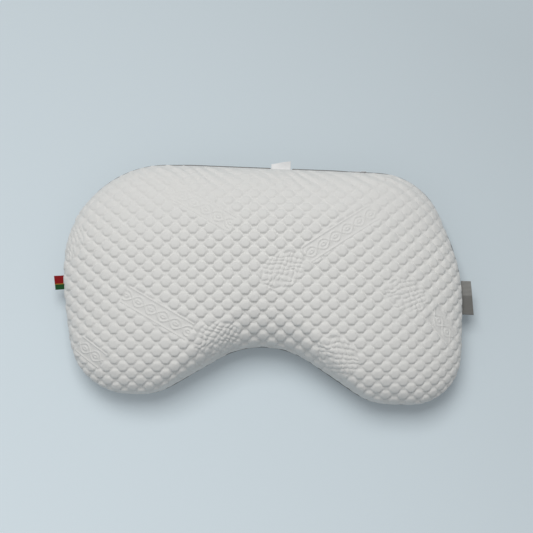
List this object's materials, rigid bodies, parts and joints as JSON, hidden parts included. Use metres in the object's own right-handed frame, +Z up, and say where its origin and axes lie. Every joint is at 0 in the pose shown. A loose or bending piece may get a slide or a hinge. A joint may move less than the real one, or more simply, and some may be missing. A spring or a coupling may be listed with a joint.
{
  "type": "cervical contour pillow",
  "caption": "Kidney-shaped cervical contour pillow: moulded memory foam core in a liner, zipped two-part cover with piped seam, sewn-in tabs and a shoulder recess.",
  "frame": {"origin": "centre of the flat underside, on the surface that the pillow lies on", "axes": "+X along the pillow's length to the right as the user's shoulders meet the recess, +Y towards the straight back edge with the zip, +Z up through the domed top"},
  "size_m": [0.6357, 0.3628, 0.112],
  "materials": {
    "memory_foam": "matte",
    "liner_jersey": "matte",
    "bubble_knit": "matte",
    "grey_knit": "matte",
    "piping_cord": "matte",
    "zip_tape": "matte",
    "zip_coil": "satin",
    "zip_stop": "satin",
    "zip_metal": "satin",
    "care_satin": "satin",
    "flag_ribbon": "satin",
    "side_weave": "matte"
  },
  "bodies": {
    "pillow": {"foam_core": "memory_foam", "core_liner": "liner_jersey", "top_panel": "bubble_knit", "base_panel": "grey_knit", "seam_piping": "piping_cord", "zip_tape_upper": "zip_tape", "zip_tape_lower": "zip_tape", "zip_row_upper": "zip_coil", "zip_row_lower": "zip_coil", "zip_top_stop_upper": "zip_stop", "zip_top_stop_lower": "zip_stop", "zip_bottom_stop": "zip_stop"},
    "slider": {"zip_slider": "zip_metal"},
    "pull": {"zip_pull": "zip_metal"},
    "care_tab": {"care_label": "care_satin"},
    "left_tab": {"flag_tab": "flag_ribbon"},
    "right_tab": {"side_label": "side_weave"}
  },
  "joints": [
    {"name": "zip_travel", "type": "slide", "parent": "pillow", "child": "slider", "axis": [-1, 0, 0], "range_m": [0, 0.277]},
    {"name": "pull_swing", "type": "hinge", "parent": "slider", "child": "pull", "pos_m": [0.1487, 0.1777, 0.035], "axis": [0, 0, -1], "range_deg": [0, 165]},
    {"name": "care_label_flex", "type": "hinge", "parent": "pillow", "child": "care_tab", "pos_m": [0.021, 0.17604, 0.05], "axis": [1, 0, 0], "range_deg": [-45, 40], "stiffness_Nm_per_rad": 0.0001},
    {"name": "flag_tab_flex", "type": "hinge", "parent": "pillow", "child": "left_tab", "pos_m": [-0.30132, -0.0117, 0.03933], "axis": [0, 1, 0], "range_deg": [-45, 45], "stiffness_Nm_per_rad": 0.0001},
    {"name": "side_label_flex", "type": "hinge", "parent": "pillow", "child": "right_tab", "pos_m": [0.30226, -0.011, 0.03937], "axis": [0, -1, 0], "range_deg": [-45, 45], "stiffness_Nm_per_rad": 0.0001}
  ]
}
